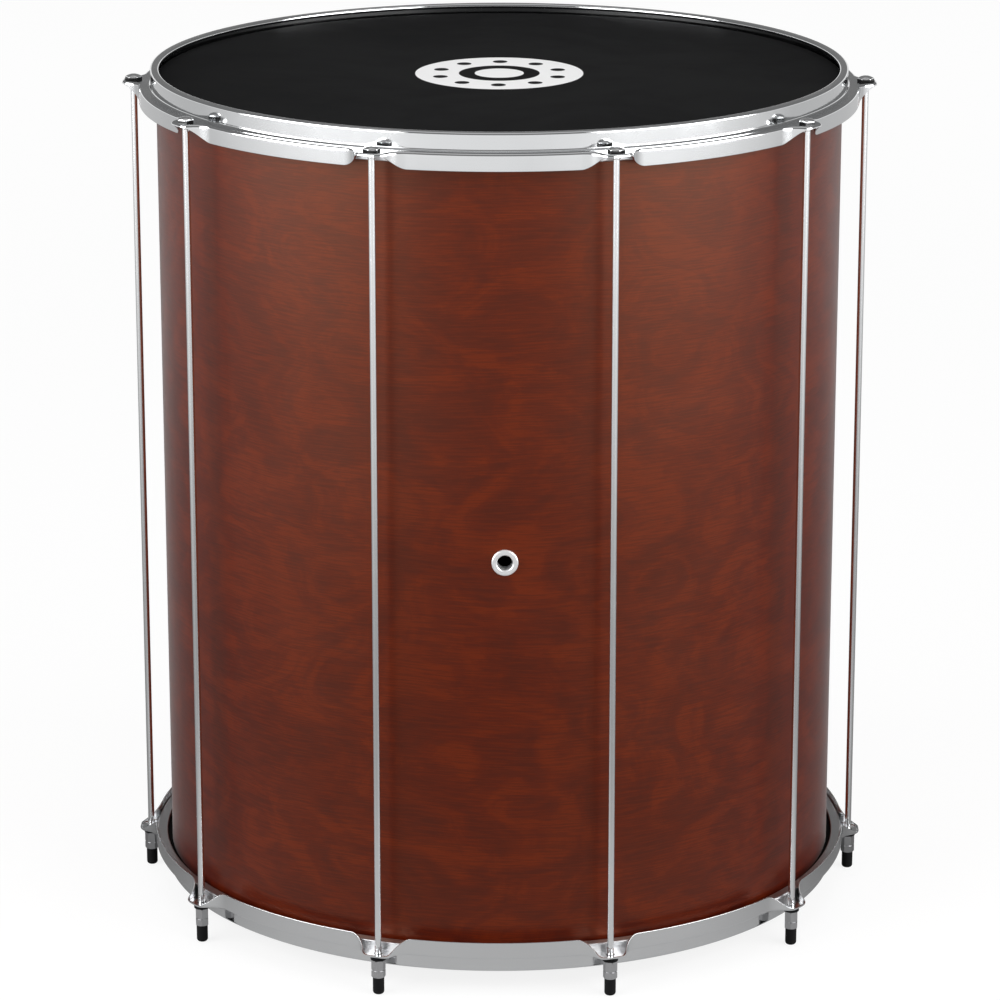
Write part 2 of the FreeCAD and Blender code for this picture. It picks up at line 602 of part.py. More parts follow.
def check_and_export(pieces):
    """Stops on any failed object or bad shape, then writes every piece to its own file."""
    for item in doc.Objects:
        if "Invalid" in item.State or "Error" in item.State:
            raise RuntimeError(f"{item.Name} failed: {item.State}")
    for piece in pieces:
        if piece.Shape.isNull() or not piece.Shape.isValid() or not piece.Shape.Solids:
            raise RuntimeError(f"{piece.Label} has no valid solid")
    os.makedirs("parts", exist_ok=True)
    for piece in pieces:
        piece.Shape.exportStep(f"parts/{piece.Label}.step")
        box = piece.Shape.BoundBox
        print(f"{piece.Label}: {len(piece.Shape.Solids)} solid, {piece.Shape.Volume:.1f} mm3, "
              f"x {box.XMin:.2f} {box.XMax:.2f}, y {box.YMin:.2f} {box.YMax:.2f}, z {box.ZMin:.2f} {box.ZMax:.2f}")


parts = make_parts()
doc.recompute()
check_and_export(parts)
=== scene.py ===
from math import atan2, cos, pi, radians, sin, sqrt, tan, tau

import bmesh
import bpy
from bpy.props import FloatProperty, FloatVectorProperty, IntProperty, PointerProperty
from mathutils import Matrix, Vector


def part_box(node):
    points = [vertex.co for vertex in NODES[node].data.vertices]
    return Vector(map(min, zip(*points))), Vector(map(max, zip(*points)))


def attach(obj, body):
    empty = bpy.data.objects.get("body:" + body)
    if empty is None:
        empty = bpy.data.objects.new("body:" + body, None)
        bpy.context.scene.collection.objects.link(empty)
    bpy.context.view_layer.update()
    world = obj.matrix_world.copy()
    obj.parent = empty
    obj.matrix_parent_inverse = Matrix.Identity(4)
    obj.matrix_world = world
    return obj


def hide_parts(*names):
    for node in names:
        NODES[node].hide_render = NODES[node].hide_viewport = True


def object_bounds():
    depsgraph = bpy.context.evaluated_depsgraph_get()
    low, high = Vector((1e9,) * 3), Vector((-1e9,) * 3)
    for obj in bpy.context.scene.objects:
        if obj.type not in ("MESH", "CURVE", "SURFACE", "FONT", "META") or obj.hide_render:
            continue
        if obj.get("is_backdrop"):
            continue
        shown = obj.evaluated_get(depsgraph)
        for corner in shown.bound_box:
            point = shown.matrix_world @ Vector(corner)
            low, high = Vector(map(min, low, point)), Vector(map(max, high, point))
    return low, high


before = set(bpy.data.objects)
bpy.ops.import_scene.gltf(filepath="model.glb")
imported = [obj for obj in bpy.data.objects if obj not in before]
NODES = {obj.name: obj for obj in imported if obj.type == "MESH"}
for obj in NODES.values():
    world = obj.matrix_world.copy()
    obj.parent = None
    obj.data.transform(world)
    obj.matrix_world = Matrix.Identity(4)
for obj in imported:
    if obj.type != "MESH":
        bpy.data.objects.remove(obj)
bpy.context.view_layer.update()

bl_info = {
    "name": "Surdo",
    "version": (1, 0, 0),
    "blender": (4, 5, 0),
    "location": "View3D > Sidebar > Surdo",
    "description": "Makes the surdo's hoops and rods, gives every part its finish, and sets up a studio",
    "category": "Object",
}

MM = 0.001
TOUCH = 1e-7
SEAM = 2e-6
UPRIGHT = (0.0, 0.0, 1.0)
WHITE = (1.0, 1.0, 1.0, 1.0)
ROD_NUMBERS = [f"{number:02d}" for number in range(1, 11)]
Z_ROD_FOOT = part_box("tension_rod_01")[0].z
SHARP = radians(32.0)
# Steps along half an ear: its straight tip, the tip's corner, its side, its root and the plain skirt.
TIP_STEPS = 4
CORNER_STEPS = 12
SIDE_STEPS = 5
ROOT_STEPS = 16
PLAIN_STEPS = 10
LEDGE_STEPS = 6
SKIRT_STEPS = 4
DOME_POWER = 2.2


def length(name, millimetres, description):
    """A length property whose default is given in millimetres."""
    return FloatProperty(name=name, description=description, default=millimetres * MM, min=0.0,
                         subtype="DISTANCE", unit="LENGTH", precision=5)


def share(name, default, description):
    """A property from 0 to 1."""
    return FloatProperty(name=name, description=description, default=default, min=0.0, max=1.0,
                         subtype="FACTOR")


def amount(name, default, description):
    """A property that isn't below 0."""
    return FloatProperty(name=name, description=description, default=default, min=0.0)


def degrees(name, value, description):
    """An angle property whose default is given in degrees."""
    return FloatProperty(name=name, description=description, default=radians(value), subtype="ANGLE",
                         unit="ROTATION")


def count(name, default, description):
    """A whole number of like things."""
    return IntProperty(name=name, description=description, default=default, min=1)


def colour(name, default, description):
    """A linear colour property."""
    return FloatVectorProperty(name=name, description=description, default=default, size=3,
                               min=0.0, max=1.0, subtype="COLOR")


class SurdoWood(bpy.types.PropertyGroup):
    """The stained ply of the shell."""

    stain: colour("Stain", (0.082, 0.0055, 0.0005), "Colour of the stained wood")
    stain_dark: colour("Dark stain", (0.040, 0.0030, 0.0018), "Colour of the wood's darker figure")
    stain_warm: colour("Warm stain", (0.128, 0.0118, 0.0003), "Colour of the wood's lighter figure")
    raw: colour("Raw ply", (0.55, 0.38, 0.22), "Colour of the bare ply inside the shell")
    streak_length: length("Streak length", 24.0, "Length of the grain's streaks around the shell")
    streak_height: length("Streak height", 0.9, "Height of one streak of the grain")
    figure_size: length("Figure size", 70.0, "Size of the clouds in the wood's figure")
    roughness: share("Roughness", 0.34, "Roughness of the satin lacquer")
    gloss: share("Gloss", 0.80, "Specular level of the satin lacquer")
    gloss_tint: colour("Gloss tint", (0.86, 0.48, 0.32), "Colour of the lacquer's gloss, seen squarely")
    haze: share("Haze", 0.75, "Pale haze of the satin lacquer where it is looked at along its face")
    haze_spread: share("Haze spread", 0.22, "How far the haze reaches towards a square view")
    warm_clouds: share("Warm clouds", 0.70, "How much warm stain the figure's lighter clouds take")
    dark_clouds: share("Dark clouds", 0.45, "How much dark stain the figure's darker clouds take")
    warm_streaks: share("Warm streaks", 0.35, "How much warm stain the lighter streaks take")
    dark_streaks: share("Dark streaks", 0.55, "How much dark stain the darker streaks take")
    pore_share: share("Pores", 0.35, "How much darker stain the pores hold")
    stain_depth: length("Stain depth", 1.2, "How far the stain reaches into the ply")
    relief: length("Relief", 0.02, "Height of the grain's relief under the lacquer")


class SurdoHoop(bpy.types.PropertyGroup):
    """The pressed steel hoops and their ears."""

    steel: length("Steel", 1.2, "Thickness of the steel")
    collar_radius: length("Collar radius", 284.0, "Outer radius of the collar")
    collar_height: length("Collar height", 14.2, "Height of the collar from the ledge to the rim")
    collar_fillet: length("Collar fillet", 1.5, "Fillet between collar and ledge")
    bead_width: length("Bead width", 7.4, "Width of the bead rolled inwards at the rim")
    bead_height: length("Bead height", 4.2, "Height of the bead rolled inwards at the rim")
    bead_round: length("Bead rounding", 2.0, "Rounding of the bead")
    bead_fillet: length("Bead fillet", 0.8, "Fillet where the bead meets the collar's inside")
    ledge_width: length("Ledge width", 9.2, "Width of the ledge from collar to skirt")
    fold_round: length("Fold rounding", 2.0, "Outer radius of the fold between ledge and skirt")
    edge_round: length("Edge rounding", 0.4, "Rounding of the skirt's free edge")
    ear_half_base: length("Ear half base", 17.5, "Half the width of an ear where it leaves the skirt")
    ear_half_tip: length("Ear half tip", 9.8, "Half the width of an ear's tip")
    ear_tip_round: length("Ear tip rounding", 8.8, "Corner radius of an ear's tip")
    ear_root_fillet: length("Ear root fillet", 15.0, "Concave radius where an ear leaves the skirt")
    ear_lip: length("Ear lip", 2.2, "Height of an ear's wall at its tip")
    hole_radius: length("Hole radius", 3.5, "Radius of the rod's hole in an ear")
    round_steps: count("Rounding steps", 5, "Steps in each rounding of the section")


class SurdoRod(bpy.types.PropertyGroup):
    """The tension rods."""

    shank_radius: length("Shank radius", 2.65, "Radius of the plain shank")
    thread_root: length("Thread root", 2.4, "Radius at the bottom of the thread")
    thread_crest: length("Thread crest", 2.95, "Radius at the top of the thread")
    thread_pitch: length("Thread pitch", 1.0, "Rise of the thread in one turn")
    thread_top: length("Thread top", 41.0, "Height over the floor where the thread ends")
    thread_sides: count("Thread sides", 20, "Number of steps in one turn of the thread")
    tip_chamfer: length("Tip chamfer", 0.8, "Chamfer at the rod's lower end")
    neck_radius: length("Neck radius", 3.1, "Radius of the neck under the head")
    neck_length: length("Neck length", 5.0, "Length of the neck under the head")
    neck_slope: length("Neck slope", 0.5, "Height of the slope from shank to neck")
    head_flats: length("Head flats", 12.0, "Width of the head across its flats")
    head_height: length("Head height", 4.4, "Height of the head")
    head_dome: length("Head dome", 2.2, "How far the head's top falls to its corners")
    head_edge: length("Head edge", 0.7, "Height of the rounded edge around the head's top")
    # The dark on a head's sides is painted shade: a band from the ledge up this share of the head's
    # height.
    head_shade_band: share("Head shade band", 0.45, "How far up a head the dark of its sides reaches")
    sides: count("Sides", 72, "Number of steps around a rod's head")


class SurdoMetal(bpy.types.PropertyGroup):
    """The plated metals and the aluminium."""

    chrome: colour("Chrome", (0.77, 0.78, 0.79), "Colour of the hoops' chrome")
    # Brighter than the hoops' chrome: partly the chrome's own colour, partly painted light that lifts the
    # rods.
    rod_chrome: colour("Rod chrome", (0.92, 0.93, 0.94), "Colour of the chrome on the rods")
    chrome_roughness: share("Chrome roughness", 0.07, "Roughness of the pressed, chromed hoops")
    rod_roughness: share("Rod roughness", 0.12, "Roughness of the chromed rods")
    nickel: colour("Nickel", (0.50, 0.50, 0.51), "Colour of the duller tuning nuts")
    nut_roughness: share("Nut roughness", 0.28, "Roughness of the tuning nuts")
    # Near white and partly diffuse: partly the eyelet's own plating, partly painted light that lifts its
    # brightness.
    vent_plate_with_painted_light: colour("Vent plate", (0.97, 0.97, 0.98), "Colour of the satin plate on the vent")
    aluminium: colour("Aluminium", (0.62, 0.62, 0.63), "Colour of the flesh rings")


class SurdoBlack(bpy.types.PropertyGroup):
    """The heads, the washers and the caps."""

    skin: colour("Skin", (0.0042, 0.0042, 0.0045), "Colour of the napa heads")
    skin_roughness: share("Skin roughness", 0.60, "Roughness of the napa heads")
    pebble_size: length("Pebble size", 1.3, "Size of the napa's pebbles")
    pebble_depth: length("Pebble depth", 0.05, "Depth of the hollows between the napa's pebbles")
    rubber: colour("Rubber", (0.006, 0.006, 0.0065), "Colour of the rubber caps")
    nylon: colour("Nylon", (0.005, 0.005, 0.0055), "Colour of the washers")
    mark: colour("Mark", (0.80, 0.80, 0.80), "Colour of the round mark on the top head")
    mark_radius: length("Mark radius", 68.5, "Radius of the round mark on the top head")
    band_inner: length("Band inside", 20.0, "Inner radius of the dark band in the mark")
    band_outer: length("Band outside", 33.0, "Outer radius of the dark band in the mark")
    dot_count: count("Dots", 10, "Number of dots around the mark")
    dot_circle: length("Dot circle", 50.0, "Radius of the circle that the dots lie on")
    dot_radius: length("Dot radius", 6.0, "Radius of one dot")


class SurdoStudio(bpy.types.PropertyGroup):
    """The camera, the floor and the lights."""

    distance: length("Camera distance", 3511.5, "Level distance from the drum's axis to the camera")
    height: length("Camera height", 1362.2, "Height of the camera over the floor")
    swing: degrees("Camera swing", 0.807, "Angle of the camera's place about the drum's axis")
    turn: degrees("Camera turn", 0.0097, "How far the camera looks past the drum's axis")
    pitch: degrees("Camera pitch", 16.4267, "How far the camera looks down")
    focus: length("Focal length", 157.08, "Focal length on a sensor 36 mm wide")
    floor_size: length("Floor size", 24000.0, "Width of the floor")
    floor_shade: share("Floor shade", 0.16, "How much light the floor gives back")
    side_distance: length("Side light distance", 2200.0, "Distance of the side lights from the drum")
    side_angle: degrees("Side light angle", 58.0, "Angle of a side light from the camera's side")
    side_width: length("Side light width", 2300.0, "Width of a side light")
    side_bottom: length("Side light bottom", 400.0, "Height of a side light's lower edge")
    side_height: length("Side light height", 2400.0, "Height of a side light's top")
    side_glow: amount("Side glow", 4.5, "Radiance of a side light")
    top_distance: length("Top light height", 3000.0, "Height of the top light over the floor")
    top_width: length("Top light width", 2200.0, "Width of the top light")
    top_back: length("Top light setback", 500.0, "How far the top light stands behind the drum's axis")
    top_glow: amount("Top glow", 1.5, "Radiance of the top light")
    ambient: amount("Ambient", 0.26, "Radiance of the room around")
    room_gloss: amount("Room gloss", 0.19, "Radiance that gloss sees over the horizon")
    ceiling_gloss: amount("Ceiling gloss", 0.55, "Radiance that gloss sees right above")
    near_eye: amount("Near fill", 0.85, "Light that the floor by the drum adds for the eye")
    far_eye: amount("Far fill", 0.92, "Light that the floor further off adds for the eye")
    near_gloss: amount("Near gloss fill", 0.23, "Light that the floor at the drum adds for gloss")
    middle_gloss: amount("Middle gloss fill", 0.13, "Light that the floor a metre off adds for gloss")
    far_gloss: amount("Far gloss fill", 1.02, "Light that the floor further off adds for gloss")


class Board:
    """Places shader nodes in one tree and links them."""

    def __init__(self, tree):
        self.tree = tree

    def node(self, kind, inputs=None, **settings):
        """One node; inputs maps its sockets to values or to the sockets that feed them."""
        made = self.tree.nodes.new("ShaderNode" + kind)
        for name, value in settings.items():
            setattr(made, name, value)
        return self.fill(made, inputs or {})

    def feed(self, socket, value):
        """Links a socket to another, or sets its value."""
        if isinstance(value, bpy.types.NodeSocket):
            self.tree.links.new(value, socket)
        else:
            socket.default_value = value

    def fill(self, node, inputs):
        """Feeds a node's sockets by their names or numbers, and returns the node."""
        for name, value in inputs.items():
            self.feed(node.inputs[name], value)
        return node

    def math(self, operation, *values, clamp=False):
        """The result of a Math node."""
        inputs = dict(enumerate(values))
        return self.node("Math", inputs, operation=operation, use_clamp=clamp).outputs[0]

    def stretch(self, place, scale):
        """A place multiplied by a scale along each axis."""
        return self.node("VectorMath", {0: place, 1: scale}, operation="MULTIPLY").outputs[0]

    def reach(self, place):
        """The length of a vector, such as a place's distance from the origin."""
        return self.node("VectorMath", {0: place}, operation="LENGTH").outputs["Value"]

    def rays(self):
        """Two values: 1 for the rays that gloss sends out, and 1 for the eye's own."""
        path = self.node("LightPath").outputs
        gloss = self.math("MAXIMUM", path["Is Glossy Ray"], path["Is Transmission Ray"])
        return gloss, path["Is Camera Ray"]

    def noise(self, place, scale, detail=3.0, roughness=0.5, distortion=0.0):
        """The value of a noise texture."""
        inputs = {"Vector": place, "Scale": scale, "Detail": detail, "Roughness": roughness,
                  "Distortion": distortion}
        return self.node("TexNoise", inputs).outputs["Fac"]

    def remap(self, value, low, high, to_low=0.0, to_high=1.0, smooth=True):
        """A value carried from one range to another."""
        inputs = {"Value": value, "From Min": low, "From Max": high, "To Min": to_low,
                  "To Max": to_high}
        kind = "SMOOTHSTEP" if smooth else "LINEAR"
        return self.node("MapRange", inputs, interpolation_type=kind).outputs["Result"]

    def blend(self, share_of_second, first, second):
        """Two colours mixed."""
        made = self.node("Mix", data_type="RGBA")
        for socket, value in (("Factor_Float", share_of_second), ("A_Color", first), ("B_Color", second)):
            found = next(item for item in made.inputs if item.identifier == socket)
            self.feed(found, value if isinstance(value, (bpy.types.NodeSocket, float)) else rgba(value))
        return next(item for item in made.outputs if item.identifier == "Result_Color")

    def group(self, tree, inputs):
        """A node group placed with its own values."""
        return self.node("Group", inputs, node_tree=tree)

    def bump(self, height, distance, strength=1.0):
        """A normal from a height in metres times the distance."""
        return self.node("Bump", {"Strength": strength, "Distance": distance, "Height": height}).outputs[0]


def rgba(value):
    """A colour with a full alpha."""
    return (*tuple(value)[:3], 1.0)


def scaled(value, factor):
    """A colour made darker or paler by a factor."""
    return tuple(factor * part for part in value)


def new_group(name, inputs, outputs):
    """An empty shader node group with named sockets; returns its board, its inputs and its exit node."""
    tree = bpy.data.node_groups.new(name, "ShaderNodeTree")
    for label, kind in inputs.items():
        tree.interface.new_socket(label, in_out="INPUT", socket_type="NodeSocket" + kind)
    for label, kind in outputs.items():
        tree.interface.new_socket(label, in_out="OUTPUT", socket_type="NodeSocket" + kind)
    entry = tree.nodes.new("NodeGroupInput")
    leave = tree.nodes.new("NodeGroupOutput")
    return Board(tree), entry.outputs, leave


def grain_group():
    """Wood grain that runs level around the drum: fine streaks, pores and clouds of figure."""
    if "Wood Grain" in bpy.data.node_groups:
        return bpy.data.node_groups["Wood Grain"]
    board, given, leave = new_group(
        "Wood Grain",
        {"Vector": "Vector", "Length": "Float", "Height": "Float", "Figure": "Float"},
        {"Streaks": "Float", "Pores": "Float", "Clouds": "Float", "Height": "Float"},
    )
    across = board.math("DIVIDE", 1.0, given["Length"])
    upwards = board.math("DIVIDE", 1.0, given["Height"])
    cloud_scale = board.math("DIVIDE", 1.0, given["Figure"])
    place = given["Vector"]
    # The streaks wander up and down by up to 11 mm.
    sway = board.math("SUBTRACT", board.noise(place, scale=4.0, detail=2.0), 0.5)
    wander = board.node("CombineXYZ", {"Z": board.math("MULTIPLY", sway, 22.0 * MM)}).outputs[0]
    shifted = board.node("VectorMath", {0: place, 1: wander}, operation="ADD").outputs[0]
    sizes = board.node("CombineXYZ", {"X": across, "Y": across, "Z": upwards}).outputs[0]
    fibre = board.stretch(shifted, sizes)
    streaks = board.noise(fibre, scale=1.0, detail=3.0, roughness=0.60)
    # The pores are a third as long as the streaks and half as high; the clouds are wider than high.
    pores = board.noise(board.stretch(fibre, (3.0, 3.0, 2.2)), scale=1.0, detail=2.0)
    flat = board.stretch(shifted, (1.0, 1.0, 1.6))
    clouds = board.noise(flat, cloud_scale, detail=4.0, roughness=0.60, distortion=1.6)
    pore_mask = board.remap(pores, 0.56, 0.76)
    board.fill(leave, {
        "Streaks": board.remap(streaks, 0.31, 0.69),
        "Pores": pore_mask,
        "Clouds": board.remap(clouds, 0.32, 0.68),
        "Height": board.math("SUBTRACT", streaks, pore_mask),
    })
    return board.tree


def handling_group():
    """Fine wipe marks and waves, as on polished and moulded things that have been handled."""
    if "Handling" in bpy.data.node_groups:
        return bpy.data.node_groups["Handling"]
    board, given, leave = new_group(
        "Handling",
        {"Vector": "Vector", "Roughness": "Float", "Spread": "Float", "Scale": "Float"},
        {"Roughness": "Float", "Waves": "Float", "Film": "Float"},
    )
    wipes = board.noise(given["Vector"], given["Scale"], detail=4.0, roughness=0.6, distortion=0.4)
    film = board.remap(wipes, 0.35, 0.75)
    # The waves are nearly twice as long as the marks.
    longer = board.math("MULTIPLY", given["Scale"], 0.55)
    waves = board.noise(given["Vector"], longer, detail=1.0, roughness=0.4)
    spread = board.math("MULTIPLY", film, given["Spread"])
    duller = board.math("ADD", given["Roughness"], spread, clamp=True)
    board.fill(leave, {"Roughness": duller, "Waves": waves, "Film": film})
    return board.tree


def pebble_group():
    """The fine pebbled face of napa, rubber and moulded nylon."""
    if "Pebble" in bpy.data.node_groups:
        return bpy.data.node_groups["Pebble"]
    board, given, leave = new_group(
        "Pebble",
        {"Vector": "Vector", "Size": "Float"},
        {"Height": "Float", "Hollows": "Float"},
    )
    scale = board.math("DIVIDE", 1.0, given["Size"])
    inputs = {"Vector": given["Vector"], "Scale": scale, "Randomness": 1.0}
    cells = board.node("TexVoronoi", inputs, feature="SMOOTH_F1").outputs["Distance"]
    finer = board.math("MULTIPLY", scale, 1.7)
    fine = board.noise(given["Vector"], finer, detail=3.0, roughness=0.6)
    height = board.math("SUBTRACT", fine, board.math("MULTIPLY", cells, 0.8))
    board.fill(leave, {"Height": height, "Hollows": board.remap(cells, 0.45, 0.85)})
    return board.tree


def new_material(name):
    """A material with one Principled shader; returns it, its board, the shader and the object's place."""
    material = bpy.data.materials.new(name)
    material.use_nodes = True
    board = Board(material.node_tree)
    shader = next(node for node in material.node_tree.nodes if node.type == "BSDF_PRINCIPLED")
    place = board.node("TexCoord").outputs["Object"]
    return material, board, shader, place


def dress(material, *names):
    """Gives CAD nodes a material."""
    for name in names:
        for holder in NODES[name].material_slots:
            holder.material = material


def numbered(stem):
    """The names of the ten like nodes of one kind."""
    return [f"{stem}_{number}" for number in ROD_NUMBERS]


def handled(board, place, roughness, spread, scale):
    """The film, waves and roughness of a surface that has been handled."""
    inputs = {"Vector": place, "Roughness": roughness, "Spread": spread, "Scale": scale}
    return board.group(handling_group(), inputs).outputs


def stained_ply(look):
    """Reddish brown stained and satin lacquered wood outside, raw ply inside and on the edges."""
    material, board, shader, place = new_material("Stained Ply")
    inputs = {"Vector": place, "Length": look.streak_length, "Height": look.streak_height,
              "Figure": look.figure_size}
    grain = board.group(grain_group(), inputs).outputs
    stain = look.stain
    for mask, start, full, most, tone in (
        ("Clouds", 0.45, 1.0, look.warm_clouds, look.stain_warm),
        ("Clouds", 0.55, 0.0, look.dark_clouds, look.stain_dark),
        ("Streaks", 0.5, 1.0, look.warm_streaks, look.stain_warm),
        ("Streaks", 0.7, 0.0, look.dark_streaks, look.stain_dark),
    ):
        stain = board.blend(board.remap(grain[mask], start, full, to_high=most), stain, tone)
    pores = board.math("MULTIPLY", grain["Pores"], look.pore_share)
    stain = board.blend(pores, stain, scaled(look.stain_dark, 0.6))
    streaks = board.math("MULTIPLY", grain["Streaks"], 0.35)
    raw = board.blend(streaks, look.raw, scaled(look.raw, 0.6))
    low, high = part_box("shell")
    stained = (high.x - low.x) / 2 - look.stain_depth
    soft = 0.2 * MM
    radius = board.reach(board.stretch(place, (1.0, 1.0, 0.0)))
    outside = board.remap(radius, stained - soft, stained + soft)
    marks = handled(board, place, look.roughness, spread=0.06, scale=9.0)
    duller = board.math("MULTIPLY", grain["Pores"], 0.08)
    board.fill(shader, {
        "Base Color": board.blend(outside, raw, stain),
        "Roughness": board.math("ADD", marks["Roughness"], duller),
        "Normal": board.bump(grain["Height"], look.relief, 0.5),
        "Specular IOR Level": look.gloss,
        "Specular Tint": rgba(look.gloss_tint),
        "Sheen Weight": look.haze,
        "Sheen Roughness": look.haze_spread,
    })
    return material


def chrome(name, base, roughness, scale, wave, band=None, metal=1.0):
    """Plated metal with a film from handling and faint waves; band gives the two heights of a dark band of
    painted shade.
    """
    material, board, shader, place = new_material(name)
    marks = handled(board, place, roughness, 0.07, scale)
    dim = board.math("MULTIPLY", marks["Film"], 0.25)
    plate = board.blend(dim, base, scaled(base, 0.88))
    if band:
        bottom, top = band
        soft = 0.2 * MM
        height = board.node("SeparateXYZ", {"Vector": place}).outputs["Z"]
        above = board.remap(height, bottom - soft, bottom)
        below = inside_of(board, height, top, soft)
        # Between the band's two heights the plate is darkened to 6 % of its colour: painted shade on the
        # rod heads' sides.
        plate = board.blend(board.math("MULTIPLY", above, below), plate, scaled(base, 0.06))
    board.fill(shader, {
        "Base Color": plate,
        "Roughness": marks["Roughness"],
        "Normal": board.bump(marks["Waves"], wave),
        "Metallic": metal,
    })
    return material


def brushed_aluminium(look):
    """Rolled aluminium with fine lines along the ring."""
    material, board, shader, place = new_material("Brushed Aluminium")
    lines = board.noise(board.stretch(place, (6.0, 6.0, 4200.0)), scale=1.0, detail=3.0, roughness=0.6)
    board.fill(shader, {
        "Base Color": board.blend(lines, scaled(look.aluminium, 0.8), look.aluminium),
        "Roughness": board.remap(lines, 0.3, 0.7, 0.30, 0.46),
        "Normal": board.bump(lines, 0.02 * MM),
        "Metallic": 1.0,
    })
    return material


def moulded_black(name, base, roughness, size, depth):
    """Moulded rubber or nylon with a fine matt face and a trace of dust."""
    material, board, shader, place = new_material(name)
    pebble = board.group(pebble_group(), {"Vector": place, "Size": size}).outputs
    marks = handled(board, place, roughness, spread=0.18, scale=160.0)
    dusty = tuple(part + 0.005 for part in base)
    film = board.math("MULTIPLY", marks["Film"], 0.5)
    board.fill(shader, {
        "Base Color": board.blend(film, base, dusty),
        "Roughness": marks["Roughness"],
        "Normal": board.bump(pebble["Height"], depth),
        "Specular IOR Level": 0.15,
    })
    return material


def inside_of(board, distance, limit, soft):
    """1 where a distance or height is under a limit, with a soft edge."""
    return board.remap(distance, limit - soft, limit + soft, 1.0, 0.0)


def mark_mask(board, place, look):
    """The white round mark on the top head: a plain disc with a dark band and a circle of dark dots."""
    soft = 0.25 * MM
    radius = board.reach(board.stretch(place, (1.0, 1.0, 0.0)))
    parts = board.node("SeparateXYZ", {"Vector": place}).outputs
    turn = board.math("DIVIDE", board.math("ARCTAN2", parts["Y"], parts["X"]), tau)
    # The turn is cut into a cell for each dot, with 0 at the dot's middle.
    cells = board.math("FRACT", board.math("MULTIPLY", turn, float(look.dot_count)))
    cell = board.math("SUBTRACT", cells, 0.5)
    along = board.math("MULTIPLY", cell, tau * look.dot_circle / look.dot_count)
    outwards = board.math("SUBTRACT", radius, look.dot_circle)
    from_dot = board.reach(board.node("CombineXYZ", {"X": along, "Y": outwards}).outputs[0])
    disc = inside_of(board, radius, look.mark_radius, soft)
    dots = inside_of(board, from_dot, look.dot_radius, soft)
    outer = inside_of(board, radius, look.band_outer, soft)
    inner = inside_of(board, radius, look.band_inner, soft)
    band = board.math("SUBTRACT", outer, inner, clamp=True)
    dark = board.math("MAXIMUM", dots, band)
    upper = board.math("GREATER_THAN", parts["Z"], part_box("shell")[1].z)
    return board.math("MULTIPLY", board.math("SUBTRACT", disc, dark, clamp=True), upper)


def napa(name, look, marked):
    """Black napa, faintly pebbled; the top head also carries a plain round mark."""
    material, board, shader, place = new_material(name)
    pebble = board.group(pebble_group(), {"Vector": place, "Size": look.pebble_size}).outputs
    marks = handled(board, place, look.skin_roughness, spread=0.12, scale=6.0)
    shade = board.math("MULTIPLY", board.math("ADD", pebble["Hollows"], marks["Film"]), 0.3)
    skin = board.blend(shade, look.skin, scaled(look.skin, 1.6))
    if marked:
        skin = board.blend(mark_mask(board, place, look), skin, look.mark)
    board.fill(shader, {
        "Base Color": skin,
        "Roughness": marks["Roughness"],
        "Normal": board.bump(pebble["Height"], look.pebble_depth, 0.5),
        "Specular IOR Level": 0.06,
    })
    return material


def as_data(name, mesh):
    """The mesh data of a bmesh, which is freed."""
    data = bpy.data.meshes.new(name)
    mesh.to_mesh(data)
    mesh.free()
    return data


def placed(name, data):
    """A new object in the scene."""
    thing = bpy.data.objects.new(name, data)
    bpy.context.scene.collection.objects.link(thing)
    return thing


def finished(name, mesh, body, material, replaced):
    """A new piece at the origin, shaded smooth, that rides on a body in place of a CAD node."""
    data = as_data(name, mesh)
    data.materials.append(material)
    piece = placed(name, data)
    level = piece.modifiers.new("Even Normals", "WEIGHTED_NORMAL")
    level.weight = 100
    level.keep_sharp = True
    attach(piece, body)
    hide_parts(replaced)
    return piece


def axis_of(node):
    """The middle of a node's box, seen from above."""
    low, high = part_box(node)
    return Vector(((low.x + high.x) / 2, (low.y + high.y) / 2, 0.0))


def arc(centre, radius, start, stop, steps):
    """Points along an arc, from one angle to another."""
    turn = (stop - start) / steps
    return [centre + radius * Vector((cos(start + turn * step), sin(start + turn * step)))
            for step in range(steps + 1)]


def rounded(corners, steps):
    """A closed outline with its corners rounded; each corner is x, z and the radius there."""
    points = []
    for index, (x, z, radius) in enumerate(corners):
        here = Vector((x, z))
        if not radius:
            points.append(here)
            continue
        back = (Vector(corners[index - 1][:2]) - here).normalized()
        onward = (Vector(corners[(index + 1) % len(corners)][:2]) - here).normalized()
        half = back.angle(onward) / 2
        centre = here + (back + onward).normalized() * (radius / sin(half))
        first = here + back * (radius / tan(half)) - centre
        last = here + onward * (radius / tan(half)) - centre
        sweep = first.angle_signed(last)
        for step in range(steps + 1):
            points.append(centre + Matrix.Rotation(-sweep * step / steps, 2) @ first)
    return points


def spun(points, centre, angle, steps):
    """A bmesh of an outline spun about an upright axis; its points are distance and height."""
    mesh = bmesh.new()
    corners = [mesh.verts.new(centre + Vector((x, 0.0, z))) for x, z in points]
    edges = [mesh.edges.new(pair) for pair in zip(corners, corners[1:])]
    whole = angle == tau
    if not whole:
        edges.append(mesh.edges.new((corners[-1], corners[0])))
    bmesh.ops.spin(mesh, geom=corners + edges, cent=centre, axis=UPRIGHT, angle=angle, steps=steps,
                   use_merge=whole)
    bmesh.ops.remove_doubles(mesh, verts=mesh.verts, dist=TOUCH)
    return mesh


def smooth(mesh):
    """Turns every face outwards and shades it smooth."""
    bmesh.ops.recalc_face_normals(mesh, faces=mesh.faces)
    for face in mesh.faces:
        face.smooth = True
    return mesh


